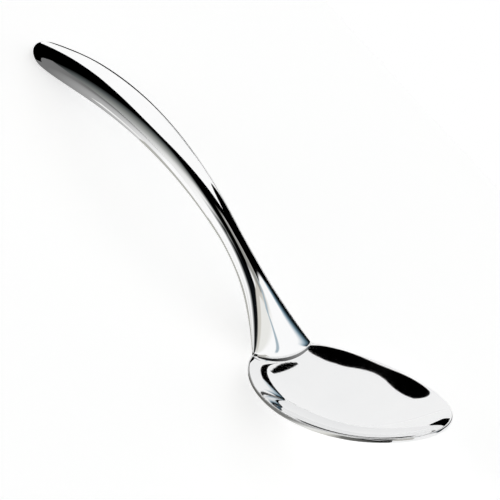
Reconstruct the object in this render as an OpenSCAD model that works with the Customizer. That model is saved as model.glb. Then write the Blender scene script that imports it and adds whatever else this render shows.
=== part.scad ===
// Serving spoon: a deep-drawn bowl with a tang, and a hollow handle of two welded half shells.
// It is shaped with the rim of its bowl level, then tipped until bowl and handle end touch the table.

/* [Bowl] */
// Length of the bowl from heel to tip
bowl_len = 114; // [90:1:140]
// Width of the bowl at its middle
bowl_w = 65; // [54:1:80]
// Depth of the dish below the rim
bowl_depth = 11; // [9:0.5:16]
// Thickness of the bowl's sheet
bowl_sheet = 2.1; // [1.5:0.1:2.4]
// How far the middle of the rim dips below heel and tip
rim_sag = 2.6; // [0:0.1:5]
// Shift of the full width towards the tip
bowl_taper = 1; // [0:0.1:2]
// Extra fullness of the outline at heel and tip
bowl_full = 0.2; // [0:0.1:0.8]
// Rounding of the sheet's edge along the rim
rim_round = 0.6; // [0.2:0.1:0.7]

/* [Handle] */
// Length of the handle along its centre line
handle_len = 240; // [200:1:280]
// Angle at which the handle leaves the bowl
lean_angle = 50.5; // [40:0.1:58]
// Angle of the handle at its far end
tail_angle = -0.7; // [-4:0.1:4]
// Width of the handle at its widest
grip_w = 20; // [16:0.5:26]
// Thickness of the handle where it is widest
grip_t = 14.5; // [12:0.5:18]
// Distance from the bowl to the widest place
grip_at = 190; // [150:1:198]
// Width of the neck
neck_w = 9.6; // [8:0.1:13]
// Thickness of the neck
neck_t = 8.2; // [7:0.1:10]
// Distance from the bowl to the neck
neck_at = 55; // [48:1:65]
// Wall of the handle's half shells
shell_wall = 1.2; // [0.8:0.1:1.5]
// Length of the rounded end
cap_len = 8; // [4:0.5:10]
// Length over which the end is cut on a slant
slant_len = 24; // [18:1:32]

/* [Joint of handle and bowl] */
// Width of the lip across the bowl
lip_w = 27.5; // [25:0.5:32]
// How far the lip reaches into the bowl at its middle
lip_reach = 4.5; // [3:0.5:8]
// How far the back shell reaches under the bowl
heel_reach = 5; // [4:0.5:8]
// Width of the skirt where its centre line starts
flare_w = 28; // [24:0.5:32]
// Height of the skirt above its centre line
flare_front = 7; // [5:0.5:9]
// Depth of the skirt behind its centre line
flare_back = 10.5; // [9:0.5:12.5]
// Length over which the front of the skirt leaves the bowl
blend_front = 28; // [24:1:34]
// Length over which the back of the skirt leaves the bowl
blend_back = 36; // [32:1:42]
// Distance of the centre line's start from the heel
start_in = 5.4; // [4:0.1:7]
// Depth of the centre line's start below the rim
start_drop = 0.8; // [0:0.1:2]
// Thickness left at the corners of the lip
lip_edge = 0.4; // [0.3:0.1:0.8]
// Length by which the sheet is cut back at the heel, inside the skirt
heel_trim = 6; // [5:0.5:7]
// Length of the tang inside the neck
tang_len = 46; // [30:1:60]
// Width of the tang at the heel
tang_w = 9; // [6:0.5:10]
// Width of the tang at its end
tang_end_w = 4.4; // [3:0.1:5]
// Thickness of the tang
tang_t = 1.4; // [1:0.1:1.6]
// Leg of the weld bead along the lip
bead = 0.8; // [0.5:0.1:1.2]

/* [Hidden] */

half_l = bowl_len / 2;
half_w = bowl_w / 2;
// Gap between a shell and the sheet that it is seated on
seat = 0.05;
// Overlap of the tang with the sheet that it is stamped with
tang_in = 1.4;
// The dish is a paraboloid that eases off towards the rim
dish_power = 1.1;
// The handle's curve fades as this power of what is left of its length
bend_power = 1.63;
// The skirt fades as this power of what is left of the way to the neck
flare_power = 2.4;
// The grip swells as a quarter sine wave of this power of the way to its widest place
swell_power = 1.15;
// Share of the section that is lost between the widest place and the end
end_drop_share = 0.29;
// Shift along the handle for each unit of height at the slanted end
end_slant_share = 1.8;
// Share of its size that the hollow keeps where the end closes
closed_share = 0.1;
// How strongly the stations crowd towards both ends
crowd_share = 0.8;
// Half angle of the open seam between the shells, and of the bead that fills it
seam_angle = 3;
bead_angle = 2.5;
// The shells stop this short of closing, and the seam's bead fills what is left
seam_end = 0.02;
// Distance from the bowl at which the seam's bead starts
seam_start = 5;
// Half angle of the lip's middle stretch that carries a bead
bead_reach_angle = 62;
// Shares of a bead's leg that are left at its crown and at its ends
bead_crown_share = 0.6;
bead_fade_share = 0.4;
// Depth of the flats that buffing leaves below the heel and the handle's end, on which the spoon lies
rest_flat = 0.15;
// Counts of facets
rings = 12;
spokes = 72;
stations = 46;
arcs = 19;
path_steps = 240;
tang_steps = 12;

// A place on the dish, lifted off it: u and v run over the unit circle, u towards the tip
function dish(u, v, lift) =
    [half_l * u,
     half_w * v + bowl_taper * 2 * u * v + bowl_full * (3 * u * u * v - v * v * v),
     lift - rim_sag * (1 - u * u) - bowl_depth * pow(max(0, 1 - u * u - v * v), dish_power)];

// The lip's corner on the rim, found by stepping towards the wanted width
function corner_v(v, tries) =
    tries == 0 ? v
    : corner_v(v + (lip_w / 2 - dish(-sqrt(1 - v * v), v, 0)[1]) / half_w, tries - 1);
lip_v = corner_v(lip_w / bowl_w, 8);
lip_u = -sqrt(1 - lip_v * lip_v);

function mix(a, b, t) = a * (1 - t) + b * t;
function clamp(t) = min(1, max(0, t));

// The centre line of the handle, from the bowl up and back
path_step = handle_len / path_steps;
function slope(s) = mix(tail_angle, lean_angle, pow(1 - s / handle_len, bend_power));
path = [
    for (i = 0, x = start_in - half_l, z = -start_drop;
         i <= path_steps;
         a = slope((i + 0.5) * path_step), x = x - path_step * cos(a), z = z + path_step * sin(a), i = i + 1)
    [i * path_step, x, z]
];
path_x = [for (p = path) [p[0], p[1]]];
path_z = [for (p = path) [p[0], p[2]]];

// Half width, half thickness to the front and half thickness to the back at a distance from the bowl
function skirt(s) = pow(max(0, 1 - s / neck_at), flare_power);
function grip(s) = sin(90 * pow(clamp((s - neck_at) / (grip_at - neck_at)), swell_power));
function ending(s) =
    (1 - end_drop_share * pow(clamp((s - grip_at) / (handle_len - grip_at)), 2))
    * sqrt(1 - pow(clamp(1 - (handle_len - s) / cap_len), 2));
function half_width(s) =
    ending(s) * (neck_w + (flare_w - neck_w) * skirt(s) + (grip_w - neck_w) * grip(s)) / 2;
function half_thickness(s, flare) =
    ending(s) * ((neck_t + (grip_t - neck_t) * grip(s)) / 2 + (flare - neck_t / 2) * skirt(s));

// A size set in by a wall, which stays open by a share of itself where the handle closes
function inset(size, wall) = wall == 0 ? size : max(size - wall, size * closed_share);

// A place on the tube of the handle: angle 0 is its +Y side, 90 its front and 270 its back
function tube(s, angle, wall) =
    let (
        run = s * (handle_len - wall) / handle_len,
        x = lookup(run, path_x),
        z = lookup(run, path_z),
        a = slope(run),
        h = inset(half_thickness(s, sin(angle) >= 0 ? flare_front : flare_back), wall) * sin(angle),
        shear = end_slant_share * pow(clamp(1 - (handle_len - s) / slant_len), 2) * h
    )
    [x + h * sin(a) - shear * cos(a), inset(half_width(s), wall) * cos(angle), z + h * cos(a) + shear * sin(a)];

// The handle's edge on the bowl: the front one lies in the dish, the back one under it
function edge_lift(angle) =
    sin(angle) < 0 ? lip_edge : lip_edge + (shell_wall - lip_edge) * sqrt(sin(angle));
function edge(angle, lift) =
    dish(lip_u + (sin(angle) >= 0 ? lip_reach : heel_reach) / half_l * abs(sin(angle)),
         lip_v * cos(angle),
         sin(angle) >= 0 ? lift : -bowl_sheet - lift);

// A place on the handle's skin, with its skirt drawn down to the bowl
function blend_len(angle) =
    sin(angle) >= 0 ? blend_front : mix(blend_front, blend_back, pow(sin(angle), 2));
function skin(s, angle, wall) =
    mix(edge(angle, wall == 0 ? edge_lift(angle) : seat),
        tube(s, angle, wall),
        sin(90 * min(1, s / blend_len(angle))));

// Stations along the handle, closer together at both ends
station_s = [
    for (i = [0 : stations])
    let (t = i / stations)
    (handle_len - seam_end) * (t - crowd_share * sin(360 * t) / (2 * PI))
];

// A solid through loops of equal, even count, each going out along one side and back along the other
module loft(loops) {
    count = len(loops[0]);
    last = (len(loops) - 1) * count;
    polyhedron(
        points = [for (loop = loops) for (p = loop) p],
        faces = concat(
            [for (i = [0 : len(loops) - 2], j = [0 : count - 1])
             [i * count + j, i * count + (j + 1) % count, (i + 1) * count + (j + 1) % count]],
            [for (i = [0 : len(loops) - 2], j = [0 : count - 1])
             [i * count + j, (i + 1) * count + (j + 1) % count, (i + 1) * count + j]],
            [for (j = [0 : count / 2 - 2]) [j, count - 2 - j, j + 1]],
            [for (j = [0 : count / 2 - 2]) [j, count - 1 - j, count - 2 - j]],
            [for (j = [0 : count / 2 - 2]) [last + j, last + j + 1, last + count - 2 - j]],
            [for (j = [0 : count / 2 - 2]) [last + j, last + count - 2 - j, last + count - 1 - j]]));
}

// A round sheet through rings of equal count, with a point that closes it at its start and its end
module dished_sheet(first, loops, final) {
    count = len(loops[0]);
    total = len(loops) * count;
    polyhedron(
        points = concat([first], [for (loop = loops) for (p = loop) p], [final]),
        faces = concat(
            [for (j = [0 : count - 1]) [0, 1 + (j + 1) % count, 1 + j]],
            [for (i = [0 : len(loops) - 2], j = [0 : count - 1])
             let (a = 1 + i * count)
             [a + j, a + (j + 1) % count, a + count + (j + 1) % count]],
            [for (i = [0 : len(loops) - 2], j = [0 : count - 1])
             let (a = 1 + i * count)
             [a + j, a + count + (j + 1) % count, a + count + j]],
            [for (j = [0 : count - 1])
             [total + 1, total + 1 - count + j, total + 1 - count + (j + 1) % count]]));
}

// Rings of the bowl: out over the dish, round the edge of the sheet, and back below
ring_r = [for (i = [1 : rings]) sin(90 * i / rings) * (1 - rim_round / half_w)];
function heel_cut(u) = heel_trim / half_l * clamp((lip_u - u) / (1 + lip_u));
function bowl_ring(r, lift) = [
    for (k = [0 : spokes - 1])
    let (u = cos(360 * k / spokes), v = sin(360 * k / spokes), reach = r * (1 - heel_cut(u)))
    dish(reach * u, reach * v, lift)
];
bowl_rings = concat(
    [for (r = ring_r) bowl_ring(r, 0)],
    [bowl_ring(1, -rim_round), bowl_ring(1, rim_round - bowl_sheet)],
    [for (i = [rings - 1 : -1 : 0]) bowl_ring(ring_r[i], -bowl_sheet)]);

// An odd count of arcs leaves one flat facet along the bottom of the handle, between two angles about 270
arc_step = (180 - 2 * seam_angle) / arcs;
low_angle = 270 + arc_step / 2;

// The spoon rests on the underside of its heel and of its handle's end, which gives the tilt of the rim
bowl_low = concat(
    [for (r = ring_r) dish(-r * (1 - heel_cut(-1)), 0, -bowl_sheet)],
    [for (s = station_s) if (s < neck_at) skin(s, low_angle, 0)]);
handle_low = [for (s = station_s) if (s > grip_at) skin(s, low_angle, 0)];
rest_tilt = min([for (h = handle_low) max([for (b = bowl_low) atan2(h[2] - b[2], b[0] - h[0])])]);
function tilted_x(p) = p[0] * cos(rest_tilt) - p[2] * sin(rest_tilt);
function tilted_z(p) = p[0] * sin(rest_tilt) + p[2] * cos(rest_tilt);
low_z = min([for (b = bowl_low) tilted_z(b)]) + rest_flat;
end_x = min([for (s = station_s, angle = [90, 270]) tilted_x(skin(s, angle, 0))]);
tip_x = max([for (ring = bowl_rings) for (p = ring) tilted_x(p)]);
function flattened(p) =
    let (below = max(0, low_z - tilted_z(p)))
    p + below * [sin(rest_tilt), 0, cos(rest_tilt)];
module at_rest() {
    translate([-(end_x + tip_x) / 2, 0, -low_z]) rotate([0, -rest_tilt, 0]) children();
}

// The tang bends from the middle of the sheet at the heel up into the handle's centre line
tang_root = dish((heel_trim + tang_in) / half_l - 1, 0, -bowl_sheet / 2);
tang_shift = tang_root - [path[0][1], 0, path[0][2]];
function tang_loop(t) =
    let (
        s = tang_len * t,
        a = slope(s),
        x = lookup(s, path_x) + tang_shift[0] * pow(1 - t, 2),
        z = lookup(s, path_z) + tang_shift[2] * pow(1 - t, 2),
        w = mix(tang_w, tang_end_w, t) / 2,
        h = tang_t / 2
    )
    [[x + h * sin(a), w, z + h * cos(a)], [x + h * sin(a), -w, z + h * cos(a)],
     [x - h * sin(a), -w, z - h * cos(a)], [x - h * sin(a), w, z - h * cos(a)]];

module bowl() {
    color("gainsboro") at_rest() union() {
        dished_sheet(dish(0, 0, 0), bowl_rings, dish(0, 0, -bowl_sheet));
        loft([for (i = [0 : tang_steps]) tang_loop(i / tang_steps)]);
    }
}

// Half of the handle from one seam to the other, as a sheet with the shell's wall
module half_shell(from) {
    loft([
        for (s = station_s)
        concat([for (j = [0 : arcs]) flattened(skin(s, from + arc_step * j, 0))],
               [for (j = [arcs : -1 : 0]) skin(s, from + arc_step * j, shell_wall)])
    ]);
}

module handle_front_shell() {
    color("silver") at_rest() half_shell(seam_angle);
}

module handle_back_shell() {
    color("darkgray") at_rest() half_shell(180 + seam_angle);
}

// The seam's bead runs up one side, over the end and back down the other side
function seam_loop(s, to_front, to_back) =
    [skin(s, to_back, 0), skin(s, to_front, 0), skin(s, to_front, shell_wall), skin(s, to_back, shell_wall)];
module handle_seam_weld() {
    run = [for (s = station_s) if (s >= seam_start) s];
    count = len(run);
    color("dimgray") at_rest() loft(concat(
        [for (s = run) seam_loop(s, bead_angle, 360 - bead_angle)],
        [for (i = [count - 1 : -1 : 0]) seam_loop(run[i], 180 - bead_angle, 180 + bead_angle)]));
}

// A bead along the handle's edge on the bowl, full at the middle and fading to the corners
function bead_place(angle, out, lift) =
    let (front = sin(angle) >= 0, reach = front ? lip_reach : heel_reach)
    dish(lip_u + (reach + out) / half_l * abs(sin(angle)),
         (lip_v + out / half_w) * cos(angle),
         front ? lift : -bowl_sheet - lift);
function bead_loop(angle, leg) =
    [bead_place(angle, seat, seat), bead_place(angle, leg, seat),
     bead_place(angle, leg * bead_crown_share, leg * bead_crown_share), bead_place(angle, seat, leg)];
module edge_bead(middle, leg) {
    loft([
        for (i = [0 : arcs])
        let (t = 2 * i / arcs - 1)
        bead_loop(middle - t * bead_reach_angle, leg * mix(1, bead_fade_share, t * t))
    ]);
}

module lip_weld() {
    color("slategray") at_rest() edge_bead(90, bead);
}

module heel_weld() {
    color("slategray") at_rest() edge_bead(270, lip_edge);
}

bowl();
handle_front_shell();
handle_back_shell();
handle_seam_weld();
lip_weld();
heel_weld();
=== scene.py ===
# Looks of the serving spoon: fine meshes from the part's own formulas, polished steel, camera and light
import math
import bpy
import numpy as np
from mathutils import Matrix


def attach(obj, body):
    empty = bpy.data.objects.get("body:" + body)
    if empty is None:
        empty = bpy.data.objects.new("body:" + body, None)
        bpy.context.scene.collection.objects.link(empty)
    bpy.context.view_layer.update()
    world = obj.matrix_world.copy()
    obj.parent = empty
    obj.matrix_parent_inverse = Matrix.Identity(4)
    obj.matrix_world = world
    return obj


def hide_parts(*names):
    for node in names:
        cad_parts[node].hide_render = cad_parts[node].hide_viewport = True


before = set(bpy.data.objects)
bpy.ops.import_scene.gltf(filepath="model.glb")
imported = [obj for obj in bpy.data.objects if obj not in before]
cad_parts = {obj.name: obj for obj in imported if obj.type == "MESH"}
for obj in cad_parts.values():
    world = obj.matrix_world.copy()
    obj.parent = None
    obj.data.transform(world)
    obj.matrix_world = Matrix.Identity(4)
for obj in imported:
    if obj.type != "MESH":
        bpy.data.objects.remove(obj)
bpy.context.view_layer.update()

# Named sizes of the part, in millimetres and degrees, as in its source
BOWL_LEN = 114.0
BOWL_W = 65.0
BOWL_DEPTH = 11.0
BOWL_SHEET = 2.1
RIM_SAG = 2.6
BOWL_TAPER = 1.0
BOWL_FULL = 0.2
RIM_ROUND = 0.6
DISH_POWER = 1.1
HANDLE_LEN = 240.0
LEAN = 50.5
TAIL = -0.7
BEND_POWER = 1.63
GRIP_W = 20.0
GRIP_T = 14.5
GRIP_AT = 190.0
NECK_W = 9.6
NECK_T = 8.2
NECK_AT = 55.0
SHELL_WALL = 1.2
CAP_LEN = 8.0
SLANT_LEN = 24.0
LIP_W = 27.5
LIP_REACH = 4.5
HEEL_REACH = 5.0
FLARE_W = 28.0
FLARE_FRONT = 7.0
FLARE_BACK = 10.5
FLARE_POWER = 2.4
SWELL_POWER = 1.15
BLEND_FRONT = 28.0
BLEND_BACK = 36.0
START_IN = 5.4
START_DROP = 0.8
LIP_EDGE = 0.4
HEEL_TRIM = 6.0
TANG_IN = 1.4
TANG_LEN = 46.0
TANG_W = 9.0
TANG_END_W = 4.4
TANG_T = 1.4
BEAD = 0.8
SEAT = 0.05
END_DROP = 0.29
END_SLANT = 1.8
CLOSED = 0.1
CROWD = 0.8
BEAD_ANGLE = 2.5
SEAM_START = 5.0
SEAM_END = 0.02
BEAD_REACH = 62.0
BEAD_CROWN = 0.6
BEAD_FADE = 0.4
LIP_MIDDLE = 90
HEEL_MIDDLE = 270
PATH_STEPS = 240
LIP_PASSES = 8
MM_PER_M = 1000

# How finely the visible meshes are built
DISH_RINGS = 56
UNDER_RINGS = 30
EDGE_STEPS = 6
SPOKES = 288
STATIONS = 230
ARCS = 48
INNER_ARCS = 16
BEAD_STEPS = 48
TANG_STEPS = 24
SHARP_FROM = 35

HALF_TURN = 180
FULL_TURN = 360
HALF_L = BOWL_LEN / 2
HALF_W = BOWL_W / 2


def dish(u, v, lift):
    u, v, lift = np.broadcast_arrays(np.asarray(u, float), v, lift)
    low = BOWL_DEPTH * np.maximum(0, 1 - u * u - v * v) ** DISH_POWER
    side = HALF_W * v + BOWL_TAPER * 2 * u * v + BOWL_FULL * (3 * u * u * v - v ** 3)
    return np.stack([HALF_L * u, side, lift - RIM_SAG * (1 - u * u) - low], -1)


def lip_corner():
    v = LIP_W / BOWL_W
    for _ in range(LIP_PASSES):
        v = v + (LIP_W / 2 - dish(-math.sqrt(1 - v * v), v, 0)[1]) / HALF_W
    return -math.sqrt(1 - v * v), v


LIP_U, LIP_V = lip_corner()


def slope(s):
    left = np.maximum(0, 1 - np.asarray(s, float) / HANDLE_LEN) ** BEND_POWER
    return np.radians(TAIL * (1 - left) + LEAN * left)


PATH_STEP = HANDLE_LEN / PATH_STEPS
PATH_S = np.arange(PATH_STEPS + 1) * PATH_STEP
PATH_A = slope(PATH_S[:-1] + PATH_STEP / 2)
PATH_X = np.concatenate([[0], np.cumsum(-PATH_STEP * np.cos(PATH_A))]) + START_IN - HALF_L
PATH_Z = np.concatenate([[0], np.cumsum(PATH_STEP * np.sin(PATH_A))]) - START_DROP


def along(s, values):
    # A smooth reading of the centre line between its steps, so that no facet shows in the gloss
    i = np.clip(np.floor(s / PATH_STEP).astype(int), 1, PATH_STEPS - 2)
    t = s / PATH_STEP - i
    a, b, c, d = values[i - 1], values[i], values[i + 1], values[i + 2]
    return b + 0.5 * t * (c - a + t * (2 * a - 5 * b + 4 * c - d + t * (3 * (b - c) + d - a)))


def clamp(t):
    return np.clip(t, 0, 1)


def skirt(s):
    return np.maximum(0, 1 - s / NECK_AT) ** FLARE_POWER


def grip(s):
    return np.sin(np.pi / 2 * clamp((s - NECK_AT) / (GRIP_AT - NECK_AT)) ** SWELL_POWER)


def ending(s):
    drop = 1 - END_DROP * clamp((s - GRIP_AT) / (HANDLE_LEN - GRIP_AT)) ** 2
    return drop * np.sqrt(1 - clamp(1 - (HANDLE_LEN - s) / CAP_LEN) ** 2)


def half_width(s):
    return ending(s) * (NECK_W + (FLARE_W - NECK_W) * skirt(s) + (GRIP_W - NECK_W) * grip(s)) / 2


def half_thickness(s, flare):
    return ending(s) * ((NECK_T + (GRIP_T - NECK_T) * grip(s)) / 2 + (flare - NECK_T / 2) * skirt(s))


def inset(size, wall):
    return size if wall == 0 else np.maximum(size - wall, size * CLOSED)


def tube(s, angle, wall):
    run = s * (HANDLE_LEN - wall) / HANDLE_LEN
    x = along(run, PATH_X)
    z = along(run, PATH_Z)
    a = slope(run)
    flare = np.where(np.sin(angle) >= 0, FLARE_FRONT, FLARE_BACK)
    h = inset(half_thickness(s, flare), wall) * np.sin(angle)
    shear = END_SLANT * clamp(1 - (HANDLE_LEN - s) / SLANT_LEN) ** 2 * h
    y = inset(half_width(s), wall) * np.cos(angle)
    return np.stack(np.broadcast_arrays(
        x + h * np.sin(a) - shear * np.cos(a), y, z + h * np.cos(a) + shear * np.sin(a)), -1)


def edge_lift(angle):
    up = np.sqrt(np.maximum(0, np.sin(angle)))
    return np.where(np.sin(angle) < 0, LIP_EDGE, LIP_EDGE + (SHELL_WALL - LIP_EDGE) * up)


def edge(angle, lift):
    front = np.sin(angle) >= 0
    reach = np.where(front, LIP_REACH, HEEL_REACH)
    return dish(LIP_U + reach / HALF_L * np.abs(np.sin(angle)), LIP_V * np.cos(angle),
                np.where(front, lift, -BOWL_SHEET - lift))


def skin(s, angle, wall):
    s, angle = np.broadcast_arrays(np.asarray(s, float), angle)
    front = np.sin(angle) >= 0
    length = np.where(front, BLEND_FRONT, BLEND_FRONT + (BLEND_BACK - BLEND_FRONT) * np.sin(angle) ** 2)
    share = np.sin(np.pi / 2 * np.minimum(1, s / length))[..., None]
    start = edge(angle, edge_lift(angle) if wall == 0 else SEAT)
    return start * (1 - share) + tube(s, angle, wall) * share


def heel_cut(u):
    return HEEL_TRIM / HALF_L * clamp((LIP_U - u) / (1 + LIP_U))


# The rest pose: the rim's frame is tipped and shifted by what the part's source works out
REST_TILT = math.radians(19.4475)
REST_X = 114.947
REST_Z = 22.0219
REST = np.array([[math.cos(REST_TILT), 0, -math.sin(REST_TILT)],
                 [0, 1, 0],
                 [math.sin(REST_TILT), 0, math.cos(REST_TILT)]])


def at_rest(points):
    return (points @ REST.T + np.array([REST_X, 0, REST_Z])) / MM_PER_M


def flattened(places):
    # The flats below the bowl's heel and the handle's end, on which the spoon lies
    places[:, 2] = np.maximum(places[:, 2], 0)
    return places


def make_piece(name, points, faces, node):
    mesh = bpy.data.meshes.new(name)
    mesh.from_pydata(flattened(at_rest(points)).tolist(), [], faces)
    mesh.validate()
    mesh.update()
    mesh.polygons.foreach_set("use_smooth", [True] * len(mesh.polygons))
    mesh.set_sharp_from_angle(angle=math.radians(SHARP_FROM))
    piece = bpy.data.objects.new(name, mesh)
    bpy.context.scene.collection.objects.link(piece)
    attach(piece, "root")
    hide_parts(node)
    return piece


def loft(loops, offset=0):
    # Quads between closed loops of equal, even count, and strips of quads over both ends
    total, count = loops.shape[:2]
    index = np.arange(total * count).reshape(total, count) + offset
    turned = np.roll(index, -1, axis=1)
    sides = np.stack([index[:-1], turned[:-1], turned[1:], index[1:]], -1).reshape(-1, 4).tolist()
    first, last = index[0], index[-1]
    caps = []
    for j in range(count // 2 - 1):
        caps.append([first[j], first[count - 1 - j], first[count - 2 - j], first[j + 1]])
        caps.append([last[j], last[j + 1], last[count - 2 - j], last[count - 1 - j]])
    return loops.reshape(-1, 3), sides + [[int(k) for k in cap] for cap in caps]


def crowded(low, high, count):
    t = np.linspace(0, 1, count)
    return low + (high - low) * (t - CROWD * np.sin(2 * np.pi * t) / (2 * np.pi))


# Bowl: the dish, its rounded edge, its underside, and the tang inside the neck
def bowl_piece():
    spoke = 2 * np.pi * np.arange(SPOKES) / SPOKES
    u, v = np.cos(spoke), np.sin(spoke)
    turn = np.pi / 2 * np.arange(EDGE_STEPS + 1) / EDGE_STEPS
    inner_r = np.sin(np.pi / 2 * np.arange(1, DISH_RINGS) / DISH_RINGS) * (1 - RIM_ROUND / HALF_W)
    under_r = np.sin(np.pi / 2 * np.arange(UNDER_RINGS - 1, 0, -1) / UNDER_RINGS) * (1 - RIM_ROUND / HALF_W)
    rings = [(r, 0) for r in inner_r]
    rings += [(1 - RIM_ROUND / HALF_W * (1 - math.sin(t)), -RIM_ROUND * (1 - math.cos(t))) for t in turn]
    rings += [(1 - RIM_ROUND / HALF_W * (1 - math.cos(t)), -BOWL_SHEET + RIM_ROUND * (1 - math.sin(t)))
              for t in turn]
    rings += [(r, -BOWL_SHEET) for r in under_r]
    reach = 1 - heel_cut(u)
    loops = np.stack([dish(r * reach * u, r * reach * v, lift) for r, lift in rings])
    total = loops.shape[0] * SPOKES
    index = np.arange(total).reshape(-1, SPOKES)
    turned = np.roll(index, -1, axis=1)
    faces = np.stack([index[:-1], index[1:], turned[1:], turned[:-1]], -1).reshape(-1, 4).tolist()
    faces += [[total, int(index[0, j]), int(turned[0, j])] for j in range(SPOKES)]
    faces += [[total + 1, int(turned[-1, j]), int(index[-1, j])] for j in range(SPOKES)]
    points = np.concatenate([loops.reshape(-1, 3), [dish(0, 0, 0), dish(0, 0, -BOWL_SHEET)]])
    root = dish((HEEL_TRIM + TANG_IN) / HALF_L - 1, 0, -BOWL_SHEET / 2)
    tang = []
    for t in np.linspace(0, 1, TANG_STEPS + 1):
        s = TANG_LEN * t
        a = float(slope(s))
        fade = (1 - t) ** 2
        x = float(along(np.array(s), PATH_X)) + (root[0] - PATH_X[0]) * fade
        z = float(along(np.array(s), PATH_Z)) + (root[2] - PATH_Z[0]) * fade
        w = (TANG_W * (1 - t) + TANG_END_W * t) / 2
        du, dw = TANG_T / 2 * math.sin(a), TANG_T / 2 * math.cos(a)
        tang.append([[x + du, w, z + dw], [x + du, -w, z + dw], [x - du, -w, z - dw], [x - du, w, z - dw]])
    more, more_faces = loft(np.array(tang), len(points))
    return make_piece("spoon_bowl", np.concatenate([points, more]), faces + more_faces, "bowl")


# Half of the handle as a sheet with the shell's wall
def shell_piece(name, start, end, node):
    outer = np.radians(np.linspace(start, end, ARCS + 1))
    inner = np.radians(np.linspace(end, start, INNER_ARCS + 1))
    # The inner row has as many points as the outer one, so that loops close over equal counts
    inner = np.interp(np.linspace(0, 1, ARCS + 1), np.linspace(0, 1, INNER_ARCS + 1), inner)
    s = crowded(0, HANDLE_LEN - SEAM_END, STATIONS)[:, None]
    loops = np.concatenate([skin(s, outer[None], 0), skin(s, inner[None], SHELL_WALL)], axis=1)
    points, faces = loft(loops)
    return make_piece(name, points, faces, node)


# The bead that fills the seam: up one side, over the end, and back down the other side
def seam_piece():
    s = crowded(0, HANDLE_LEN - SEAM_END, STATIONS)
    s = s[s >= SEAM_START]
    low, high = math.radians(-BEAD_ANGLE), math.radians(BEAD_ANGLE)

    def rows(run, to_front, to_back):
        return np.stack([skin(run, to_back, 0), skin(run, to_front, 0),
                         skin(run, to_front, SHELL_WALL), skin(run, to_back, SHELL_WALL)], axis=1)
    there = rows(s, high, low)
    back = rows(s[::-1], math.pi - high, math.pi - low)
    points, faces = loft(np.concatenate([there, back]))
    return make_piece("spoon_seam_weld", points, faces, "handle_seam_weld")


# A polished fillet along the handle's edge on the bowl
def bead_piece(name, middle, leg, node):
    t = np.linspace(-1, 1, BEAD_STEPS + 1)
    angle = np.radians(middle - t * BEAD_REACH)
    size = leg * (1 - (1 - BEAD_FADE) * t * t)
    front = math.sin(math.radians(middle)) >= 0
    reach = LIP_REACH if front else HEEL_REACH

    def place(out, lift):
        return dish(LIP_U + (reach + out) / HALF_L * np.abs(np.sin(angle)),
                    (LIP_V + out / HALF_W) * np.cos(angle), lift if front else -BOWL_SHEET - lift)
    loops = np.stack([place(SEAT, SEAT), place(size, SEAT),
                      place(size * BEAD_CROWN, size * BEAD_CROWN), place(SEAT, size)], axis=1)
    points, faces = loft(loops)
    return make_piece(name, points, faces, node)


bowl = bowl_piece()
# The shells reach up to the seam's bead, where the part's source leaves half a degree open beside it
front = shell_piece("spoon_front_shell", BEAD_ANGLE, HALF_TURN - BEAD_ANGLE, "handle_front_shell")
back = shell_piece("spoon_back_shell", HALF_TURN + BEAD_ANGLE, FULL_TURN - BEAD_ANGLE, "handle_back_shell")
seam = seam_piece()
lip = bead_piece("spoon_lip_weld", LIP_MIDDLE, BEAD, "lip_weld")
heel = bead_piece("spoon_heel_weld", HEEL_MIDDLE, LIP_EDGE, "heel_weld")


# Helpers for node trees, used by the materials and by the world
# These sockets share their names with others, so they are picked by number
MIX_UNDER = 6
MIX_OVER = 7
MIX_RESULT = 2
TINT_LOW = 9
TINT_HIGH = 10

WHITE = (1.0, 1.0, 1.0)
BLACK = (0.0, 0.0, 0.0)


def maths(tree, operation, *values):
    node = tree.nodes.new("ShaderNodeMath")
    node.operation = operation
    for slot, value in zip(node.inputs, values):
        if isinstance(value, (int, float)):
            slot.default_value = value
        else:
            tree.links.new(value, slot)
    return node.outputs[0]


def noise(tree, vector, scale, detail):
    node = tree.nodes.new("ShaderNodeTexNoise")
    node.inputs["Scale"].default_value = scale
    node.inputs["Detail"].default_value = detail
    tree.links.new(vector, node.inputs["Vector"])
    return node.outputs["Fac"]


def ramp(tree, value, stops):
    # Tones along a value, even between the stops and held beyond the first and the last of them
    low, high = stops[0][0], stops[-1][0]
    place = tree.nodes.new("ShaderNodeMapRange")
    place.inputs["From Min"].default_value = low
    place.inputs["From Max"].default_value = high
    tree.links.new(value, place.inputs["Value"])
    node = tree.nodes.new("ShaderNodeValToRGB")
    tree.links.new(place.outputs["Result"], node.inputs["Fac"])
    elements = node.color_ramp.elements
    elements[0].color = (*stops[0][1], 1)
    elements[1].color = (*stops[-1][1], 1)
    for at, colour in stops[1:-1]:
        elements.new((at - low) / (high - low)).color = (*colour, 1)
    return node.outputs["Color"]


# Polished stainless steel, with the faint haze and hairlines that buffing leaves
ROUGH_MIN = 0.018
ROUGH_MAX = 0.045
HAZE_SCALE = 60
HAZE_DETAIL = 4
COOL_GREEN = 0.005
COOL_BLUE = 0.01
LINE_STRETCH = (180, 2600, 2600)
LINE_DETAIL = 3
LINE_STRENGTH = 0.02
LINE_DEPTH = 0.00002
# Painted shade on the lip weld: how dark its near and far halves are painted, and over what width the change
# runs
PAINTED_SHADE_SPAN = 0.006
PAINTED_SHADE_NEAR = 0.02
PAINTED_SHADE_FAR = 0.25


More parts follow.
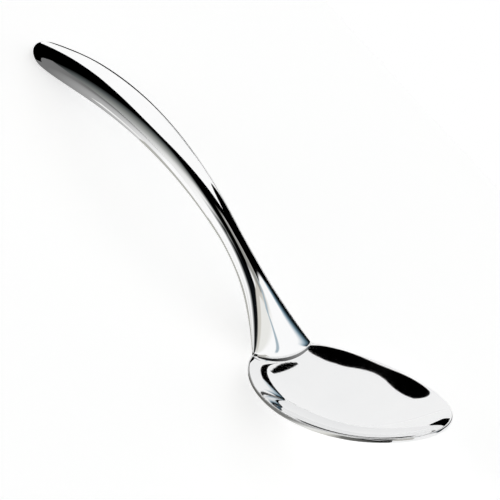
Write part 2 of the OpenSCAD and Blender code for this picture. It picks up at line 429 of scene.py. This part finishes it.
def steel(name, low, high, with_painted_shade=False):
    material = bpy.data.materials.new(name)
    material.use_nodes = True
    tree = material.node_tree
    shader = tree.nodes["Principled BSDF"]
    shader.inputs["Metallic"].default_value = 1
    place = tree.nodes.new("ShaderNodeTexCoord")
    haze = noise(tree, place.outputs["Object"], HAZE_SCALE, HAZE_DETAIL)
    rough = tree.nodes.new("ShaderNodeMapRange")
    rough.inputs["To Min"].default_value = ROUGH_MIN
    rough.inputs["To Max"].default_value = ROUGH_MAX
    tree.links.new(haze, rough.inputs["Value"])
    tree.links.new(rough.outputs["Result"], shader.inputs["Roughness"])
    tint = tree.nodes.new("ShaderNodeMapRange")
    tint.data_type = "FLOAT_VECTOR"
    tint.inputs[TINT_LOW].default_value = (low, low + COOL_GREEN, low + COOL_BLUE)
    tint.inputs[TINT_HIGH].default_value = (high, high, high)
    tree.links.new(haze, tint.inputs["Vector"])
    colour = tint.outputs["Vector"]
    # Painted shade, darker on the near half, for the lip weld only
    if with_painted_shade:
        colour = painted_near_shade(tree, place.outputs["Object"], colour)
    tree.links.new(colour, shader.inputs["Base Color"])
    stretch = tree.nodes.new("ShaderNodeMapping")
    stretch.inputs["Scale"].default_value = LINE_STRETCH
    tree.links.new(place.outputs["Object"], stretch.inputs["Vector"])
    bump = tree.nodes.new("ShaderNodeBump")
    bump.inputs["Strength"].default_value = LINE_STRENGTH
    bump.inputs["Distance"].default_value = LINE_DEPTH
    tree.links.new(noise(tree, stretch.outputs["Vector"], 1, LINE_DETAIL), bump.inputs["Height"])
    tree.links.new(bump.outputs["Normal"], shader.inputs["Normal"])
    return material


def painted_near_shade(tree, position, colour):
    # Painted shade: the weld at the lip is painted darker, most of all on its near half, for the dark
    # crescent of shade and reflection under the lip
    parts = tree.nodes.new("ShaderNodeSeparateXYZ")
    tree.links.new(position, parts.inputs[0])
    shade = tree.nodes.new("ShaderNodeMapRange")
    shade.inputs["From Min"].default_value = -PAINTED_SHADE_SPAN
    shade.inputs["From Max"].default_value = PAINTED_SHADE_SPAN
    shade.inputs["To Min"].default_value = PAINTED_SHADE_NEAR
    shade.inputs["To Max"].default_value = PAINTED_SHADE_FAR
    tree.links.new(parts.outputs[1], shade.inputs["Value"])
    scaled = tree.nodes.new("ShaderNodeVectorMath")
    scaled.operation = "SCALE"
    tree.links.new(colour, scaled.inputs[0])
    tree.links.new(shade.outputs["Result"], scaled.inputs["Scale"])
    return scaled.outputs["Vector"]


HANDLE_LOW = 0.93
HANDLE_HIGH = 0.98
# Painted shade: the bowl's steel is painted darker than the handle's, for the dimmer reflection that the bowl
# shows
BOWL_SHADED_LOW = 0.84
BOWL_SHADED_HIGH = 0.89
LIP_LOW = 0.90
LIP_HIGH = 0.95
polished = steel("polished_steel", HANDLE_LOW, HANDLE_HIGH)
bowl_metal_painted_shade = steel("bowl_steel", BOWL_SHADED_LOW, BOWL_SHADED_HIGH)
# The lip weld's steel carries painted shade on its near half
lip_metal_painted_shade = steel("lip_weld_steel_painted_shade", LIP_LOW, LIP_HIGH, with_painted_shade=True)
for piece, slot, metal in ((bowl, "bowl_steel", bowl_metal_painted_shade), (front, "handle_steel", polished),
                           (back, "handle_steel", polished), (seam, "weld_steel", polished),
                           (lip, "weld_steel", lip_metal_painted_shade), (heel, "weld_steel", polished)):
    piece.data.materials.append(metal)


# Floor: white, lit a little by itself for the camera and for gloss, so that only a faint shadow is left
FLOOR_SIDE = 0.8
FLOOR_FRONT = -0.8
FLOOR_BACK = 0.16
FLOOR_COLOUR = 0.8
FLOOR_GLOW = 0.62


def paper_material():
    material = bpy.data.materials.new("white_paper")
    material.use_nodes = True
    tree = material.node_tree
    tree.nodes.clear()
    diffuse = tree.nodes.new("ShaderNodeBsdfDiffuse")
    diffuse.inputs["Color"].default_value = (FLOOR_COLOUR, FLOOR_COLOUR, FLOOR_COLOUR, 1)
    glow = tree.nodes.new("ShaderNodeEmission")
    ray = tree.nodes.new("ShaderNodeLightPath")
    seen = maths(tree, "MAXIMUM", ray.outputs["Is Camera Ray"], ray.outputs["Is Glossy Ray"])
    seen = maths(tree, "MAXIMUM", seen, ray.outputs["Is Transmission Ray"])
    tree.links.new(maths(tree, "MULTIPLY", seen, FLOOR_GLOW), glow.inputs["Strength"])
    lit = tree.nodes.new("ShaderNodeAddShader")
    tree.links.new(diffuse.outputs[0], lit.inputs[0])
    tree.links.new(glow.outputs[0], lit.inputs[1])
    out = tree.nodes.new("ShaderNodeOutputMaterial")
    tree.links.new(lit.outputs[0], out.inputs["Surface"])
    return material


floor_mesh = bpy.data.meshes.new("floor")
floor_corners = [(-FLOOR_SIDE, FLOOR_FRONT, 0), (FLOOR_SIDE, FLOOR_FRONT, 0),
                 (FLOOR_SIDE, FLOOR_BACK, 0), (-FLOOR_SIDE, FLOOR_BACK, 0)]
floor_mesh.from_pydata(floor_corners, [], [(0, 1, 2, 3)])
floor_mesh.materials.append(paper_material())
floor = bpy.data.objects.new("floor", floor_mesh)
bpy.context.scene.collection.objects.link(floor)

# World: a white studio by direction, with the panels and flags that the gloss of the steel shows

# Start and end are edges of azimuth, foot and top are edges of elevation, and each edge is an angle
# and the width over which it fades, in degrees. Tones are listed by azimuth or by elevation.
SIDE_PANEL = {"start": (62, 8), "end": (112, 3)}
SIDE_TONES = [(22, (0.004, 0.008, 0.010)), (31, (0.10, 0.17, 0.22)), (36, (0.38, 0.48, 0.55)), (42, WHITE)]
BLACK_PANEL = {"start": (-78, 3), "end": (-29, 3), "top": (50, 8)}
BEIGE_PANEL = {"start": (-29, 3), "end": (9, 4), "top": (46, 8)}
BEIGE = (0.50, 0.49, 0.46)
FLAG_NEAR = {"start": (109, 2), "top": (67, 3)}
FLAG_FAR = {"start": (155, 4), "top": (80, 3)}
FLAG_TONES = [(197, BLACK), (206, (0.09, 0.10, 0.10)), (214, (0.22, 0.23, 0.22)), (222, (0.40, 0.41, 0.40)),
              (230, (0.80, 0.80, 0.79)), (240, WHITE)]
FLAG_LIFT_FROM = 43
FLAG_LEAN = 0.1
LEFT_FLAG = {"start": (236, 8), "end": (261, 5), "foot": (30, 4), "top": (80, 6)}
LEFT_TONES = [(30, (0.80, 0.80, 0.80)), (36, (0.50, 0.51, 0.51)), (42, (0.20, 0.21, 0.21)),
              (48, (0.003, 0.004, 0.005))]
OVERHEAD_FOOT = (68, 10)
OVERHEAD_RIM = (-0.12, 0.06)
RIM_SLANT = 0.5
RIM_SLANT_NEAR = 0.2
OVERHEAD_BEIGE = (0.62, 0.60, 0.55)
OVERHEAD_PALE = (0.84, 0.84, 0.81)
PALE_PART = {"start": (-60, 30), "end": (70, 20)}
OVERHEAD_GREY = (0.30, 0.30, 0.28)
GREY_PART = {"start": (90, 10), "end": (172, 10), "foot": (68, 4), "top": (80, 5)}
STREAK_PART = {"start": (28, 6), "end": (112, 6)}
STREAK_BLUE = (0.38, 0.47, 0.53)
STREAK_WIDTH = (2.6, 2.5)
STREAK_TURN = 62
STREAK_TOP = 74
STREAK_SLOPE = 0.88
STREAK_BEND = 0.0022
AZIMUTH_CUT = -90
DEGREES = HALF_TURN / math.pi

world = bpy.data.worlds.new("studio")
bpy.context.scene.world = world
world.use_nodes = True
studio = world.node_tree
studio.nodes.clear()


def calc(operation, *values):
    return maths(studio, operation, *values)


def above(value, threshold, soft):
    # 0 below the threshold and 1 above it, with a soft edge of the given width
    node = studio.nodes.new("ShaderNodeMapRange")
    node.interpolation_type = "SMOOTHSTEP"
    node.inputs["From Min"].default_value = threshold - soft / 2
    node.inputs["From Max"].default_value = threshold + soft / 2
    studio.links.new(value, node.inputs["Value"])
    return node.outputs["Result"]


def below(value, threshold, soft):
    return calc("SUBTRACT", 1, above(value, threshold, soft))


def both(*masks):
    result = masks[0]
    for mask in masks[1:]:
        result = calc("MULTIPLY", result, mask)
    return result


def patch(start=None, end=None, foot=None, top=None):
    # 1 within the stated edges and 0 outside
    masks = []
    for limit, side, angle in ((start, above, azimuth), (end, below, azimuth),
                               (foot, above, elevation), (top, below, elevation)):
        if limit:
            masks.append(side(angle, *limit))
    return both(*masks)


def blend(under, over, mask):
    node = studio.nodes.new("ShaderNodeMix")
    node.data_type = "RGBA"
    studio.links.new(mask, node.inputs["Factor"])
    for socket, colour in ((node.inputs[MIX_UNDER], under), (node.inputs[MIX_OVER], over)):
        if isinstance(colour, tuple):
            socket.default_value = (*colour, 1)
        else:
            studio.links.new(colour, socket)
    return node.outputs[MIX_RESULT]


direction = studio.nodes.new("ShaderNodeTexCoord")
split = studio.nodes.new("ShaderNodeSeparateXYZ")
studio.links.new(direction.outputs["Generated"], split.inputs[0])
dx, dy, dz = split.outputs
# Azimuth from +X towards +Y, cut at -90, so that the flags behind the handle lie in one range
azimuth = calc("MULTIPLY", calc("ARCTAN2", dy, dx), DEGREES)
azimuth = calc("ADD", azimuth, calc("MULTIPLY", calc("LESS_THAN", azimuth, AZIMUTH_CUT), FULL_TURN))
elevation = calc("MULTIPLY", calc("ARCSINE", dz), DEGREES)

# Dark panel on the far side, which turns blue and then white upwards
sky = blend(WHITE, ramp(studio, elevation, SIDE_TONES), patch(**SIDE_PANEL))
# Two panels low on either side of the camera, one black and one beige
sky = blend(sky, BLACK, patch(**BLACK_PANEL))
sky = blend(sky, BEIGE, patch(**BEIGE_PANEL))
# Black flag behind the handle; its far side fades through grey, earlier when low than when high
lift = calc("MAXIMUM", calc("SUBTRACT", elevation, FLAG_LIFT_FROM), 0)
faded = calc("SUBTRACT", azimuth, calc("MULTIPLY", calc("MULTIPLY", lift, lift), FLAG_LEAN))
flag_area = calc("MAXIMUM", patch(**FLAG_NEAR), patch(**FLAG_FAR))
sky = blend(sky, ramp(studio, faded, FLAG_TONES), flag_area)
# Second flag on the camera's left, which grows darker upwards
sky = blend(sky, ramp(studio, elevation, LEFT_TONES), patch(**LEFT_FLAG))
# Overhead panel round the zenith, beige, paler towards +X and grey above the black flag
rim = calc("ADD", dx, calc("MAXIMUM", calc("MULTIPLY", dy, RIM_SLANT), calc("MULTIPLY", dy, RIM_SLANT_NEAR)))
overhead = both(above(elevation, *OVERHEAD_FOOT), above(rim, *OVERHEAD_RIM))
sky = blend(sky, blend(OVERHEAD_BEIGE, OVERHEAD_PALE, patch(**PALE_PART)), overhead)
sky = blend(sky, OVERHEAD_GREY, patch(**GREY_PART))
# Joint between the overhead panel and the dark panel, a thin bluish streak that bends at one azimuth
before = calc("MAXIMUM", calc("SUBTRACT", STREAK_TURN, azimuth), 0)
after = calc("MAXIMUM", calc("SUBTRACT", azimuth, STREAK_TURN), 0)
crest = calc("SUBTRACT", STREAK_TOP, calc("MULTIPLY", before, STREAK_SLOPE))
crest = calc("SUBTRACT", crest, calc("MULTIPLY", calc("MULTIPLY", after, after), STREAK_BEND))
off = calc("ABSOLUTE", calc("SUBTRACT", elevation, crest))
sky = blend(sky, STREAK_BLUE, both(below(off, *STREAK_WIDTH), patch(**STREAK_PART)))

# The camera itself sees plain white
gloss_side = studio.nodes.new("ShaderNodeBackground")
studio.links.new(sky, gloss_side.inputs["Color"])
camera_side = studio.nodes.new("ShaderNodeBackground")
camera_side.inputs["Color"].default_value = (*WHITE, 1)
look = studio.nodes.new("ShaderNodeLightPath")
pick = studio.nodes.new("ShaderNodeMixShader")
studio.links.new(look.outputs["Is Camera Ray"], pick.inputs["Fac"])
studio.links.new(gloss_side.outputs[0], pick.inputs[1])
studio.links.new(camera_side.outputs[0], pick.inputs[2])
world_out = studio.nodes.new("ShaderNodeOutputWorld")
studio.links.new(pick.outputs[0], world_out.inputs["Surface"])


# Cards and sheets that glow, and that only the gloss of the steel shows
def flat_material(name, colour):
    material = bpy.data.materials.new(name)
    material.use_nodes = True
    tree = material.node_tree
    tree.nodes.clear()
    light = tree.nodes.new("ShaderNodeEmission")
    light.inputs["Color"].default_value = (*colour, 1)
    end = tree.nodes.new("ShaderNodeOutputMaterial")
    tree.links.new(light.outputs[0], end.inputs["Surface"])
    return material


def graded_material(name, across, stops):
    # A glowing material whose tone changes along one horizontal direction, in metres
    material = flat_material(name, WHITE)
    tree = material.node_tree
    place = tree.nodes.new("ShaderNodeTexCoord")
    dot = tree.nodes.new("ShaderNodeVectorMath")
    dot.operation = "DOT_PRODUCT"
    dot.inputs[1].default_value = (*across, 0)
    tree.links.new(place.outputs["Object"], dot.inputs[0])
    tree.links.new(ramp(tree, dot.outputs["Value"], stops), tree.nodes["Emission"].inputs["Color"])
    return material


def stage_card(name, corners, material):
    mesh = bpy.data.meshes.new(name)
    mesh.from_pydata(corners, [], [tuple(range(len(corners)))])
    mesh.materials.append(material)
    thing = bpy.data.objects.new(name, mesh)
    bpy.context.scene.collection.objects.link(thing)
    thing.visible_camera = False
    thing.visible_diffuse = False
    thing.visible_shadow = False


def bent_card(name, one_edge, other_edge, material):
    # A row of flat cards between two bent edges
    for k in range(len(one_edge) - 1):
        corners = [one_edge[k], one_edge[k + 1], other_edge[k + 1], other_edge[k]]
        stage_card(f"{name}_{k + 1}", corners, material)


def sheet(name, places, height, material):
    stage_card(name, [(x, y, height) for x, y in places], material)


def upright(x, places):
    return [(x, y, z) for y, z in places]


def along_spoon(y, places):
    return [(x, y, z) for x, z in places]


CURVE_STEPS = 6


def curve(start, pull, end):
    # A round stretch from start to end, bent towards pull
    points = []
    for k in range(CURVE_STEPS + 1):
        u = k / CURVE_STEPS
        weights = ((1 - u) ** 2, 2 * u * (1 - u), u * u)
        points.append(tuple(sum(w * c for w, c in zip(weights, axis)) for axis in zip(start, pull, end)))
    return points


white = flat_material("white_card", WHITE)
black = flat_material("black_card", BLACK)

# Soft box behind the handle, in y and z: a foot, a low and a high card, and a bent card along the near edge
BOX_X = -0.45
BOX_SPLIT = 0.20
BOX_WAIST_Z = 0.28
BOX_WAIST = (-0.02, BOX_WAIST_Z)
BOX_WAIST_PULL = (-0.08, 0.38)
BOX_BEND = (-0.02, 0.475)
BOX_BEND_PULL = (0.12, 0.72)
BOX_TOP = (0.60, 0.86)
BOX_FOOT = [(0.50, -0.06), (0.46, -0.01), (0.62, -0.01), (0.62, -0.06)]
BOX_LOW = [(0.46, -0.01), (BOX_SPLIT, -0.06), (BOX_SPLIT, BOX_WAIST_Z), (0.60, BOX_WAIST_Z), (0.62, 0.12),
           (0.62, -0.01)]
BOX_HIGH = [(0.60, BOX_WAIST_Z), *curve(BOX_WAIST, BOX_WAIST_PULL, BOX_BEND),
            *curve(BOX_BEND, BOX_BEND_PULL, BOX_TOP)[1:]]
BOX_EDGE = [(0.085, -0.06), (0.085, 0.02), (0.07, 0.08), (0.05, 0.15), BOX_WAIST]
stage_card("box_foot", upright(BOX_X, BOX_FOOT), white)
stage_card("box_low", upright(BOX_X, BOX_LOW), white)
stage_card("box_high", upright(BOX_X, BOX_HIGH), white)
bent_card("box_edge", upright(BOX_X, BOX_EDGE), [(BOX_X, BOX_SPLIT, z) for y, z in BOX_EDGE], white)

# Bent black strip before the soft box, in y and z
STRIP_X = -0.44
STRIP_LOW = curve((0.325, 0.565), (0.48, 0.44), (0.535, 0.255))
STRIP_HIGH = curve((0.33, 0.575), (0.50, 0.515), (0.545, 0.255))
bent_card("strip", upright(STRIP_X, STRIP_LOW), upright(STRIP_X, STRIP_HIGH), black)

# Small white cards, in x and z: one beside the neck, which hides the strip from it, and one beside the heel
NECK_CARD_Y = 0.013
NECK_CARD = [(-0.039, 0.055), (-0.028, 0.038), (-0.022, 0.038), (-0.022, 0.045), (-0.036, 0.058)]
HEEL_CARD_Y = 0.0335
HEEL_CARD = [(0.034, 0.084), (0.034, 0.062), (0.042, 0.044), (0.056, 0.038), (0.058, 0.064)]
stage_card("neck_card", along_spoon(NECK_CARD_Y, NECK_CARD), white)
stage_card("heel_card", along_spoon(HEEL_CARD_Y, HEEL_CARD), white)

# Sheets just above the table, in x and y, for the dark, grey, pale and beige parts of the steel's lower side
SHEET_Z = 0.0003
LIFT_Z = 0.0006
GREY_ACROSS = (0.8, -0.6)
GREY_STOPS = [(-0.18, (0.17, 0.17, 0.17)), (-0.115, (0.18, 0.18, 0.18)), (-0.07, (0.50, 0.50, 0.50)),
              (-0.03, WHITE)]
BEIGE_ACROSS = (1, 0)
BEIGE_STOPS = [(0.07, (0.08, 0.08, 0.07)), (0.105, (0.25, 0.25, 0.24)), (0.12, (0.90, 0.90, 0.88)),
               (0.135, (0.80, 0.79, 0.75)), (0.155, (0.18, 0.18, 0.17)), (0.26, (0.01, 0.01, 0.01))]
EDGE_GREY = (0.46, 0.46, 0.43)
EDGE_PALE = (0.88, 0.88, 0.87)
END_SHEET = [(-0.79, -0.60), (0.30, -0.60), (-0.04, -0.04), (-0.05, 0.006), (-0.79, 0.006)]
END_SHADE = [(-0.79, -0.21), (-0.24, -0.04), (-0.158, -0.012), (-0.17, 0.002), (-0.79, 0.175)]
EDGE_SHEET = [(-0.08, -0.025), (0, -0.03), (0.03, -0.05), (0.06, -0.05), (0.06, 0.006), (-0.08, 0.006)]
EDGE_LIGHT = [(-0.12, -0.018), (-0.11, -0.029), (-0.08, -0.032), (-0.08, -0.017)]
BACK_SHADE = [(-0.19, 0.012), (0.06, 0.012), (0.06, 0.045), (-0.20, 0.11), (-0.215, 0.09), (-0.195, 0.045)]
TIP_SHADE = [(-0.005, 0.08), (0.048, 0.062), (0.075, 0.058), (0.075, 0.085), (0, 0.095)]
BOWL_SHEET_PLACES = [(0.06, -0.35), (0.60, -0.35), (0.60, -0.24), (0.36, -0.11), (0.19, -0.02), (0.06, -0.02)]
grey = graded_material("grey_sheet", GREY_ACROSS, GREY_STOPS)
beige = graded_material("beige_sheet", BEIGE_ACROSS, BEIGE_STOPS)
sheet("end_sheet", END_SHEET, SHEET_Z, grey)
sheet("end_shade", END_SHADE, LIFT_Z, black)
sheet("edge_sheet", EDGE_SHEET, LIFT_Z, flat_material("edge_sheet", EDGE_GREY))
sheet("edge_light", EDGE_LIGHT, LIFT_Z, flat_material("edge_light", EDGE_PALE))
sheet("back_shade", BACK_SHADE, SHEET_Z, black)
sheet("tip_shade", TIP_SHADE, SHEET_Z, black)
sheet("bowl_sheet", BOWL_SHEET_PLACES, SHEET_Z, beige)

# Camera: fitted to the outline of the rim, given in the rim's frame about the lip
CAM_AZ = math.radians(-29.8396)
CAM_EL = math.radians(19.2139)
CAM_DISTANCE = 1205.6
CAM_SIDE = -12.357
CAM_UP = 39.657
CAM_ORIGIN = np.array([-52.142, 0, -0.071])
FOCAL_PIXELS = 2915
FRAME_PIXELS = 500
SENSOR = 36
CLIP_END = 20
level = np.array([math.cos(CAM_AZ), math.sin(CAM_AZ), 0])
toward = math.cos(CAM_EL) * level + np.array([0, 0, math.sin(CAM_EL)])
right = np.array([-math.sin(CAM_AZ), math.cos(CAM_AZ), 0])
up = np.cross(toward, right)
eye = CAM_DISTANCE * toward + CAM_SIDE * right + CAM_UP * up + CAM_ORIGIN
lens = bpy.data.cameras.new("camera")
lens.sensor_width = SENSOR
lens.lens = FOCAL_PIXELS / FRAME_PIXELS * SENSOR
lens.clip_end = CLIP_END
camera = bpy.data.objects.new("camera", lens)
bpy.context.scene.collection.objects.link(camera)
turn = np.column_stack([REST @ right, REST @ up, REST @ toward])
matrix = Matrix(turn.tolist()).to_4x4()
matrix.translation = at_rest(eye).tolist()
camera.matrix_world = matrix
bpy.context.scene.camera = camera
bpy.context.scene.view_settings.view_transform = "Standard"
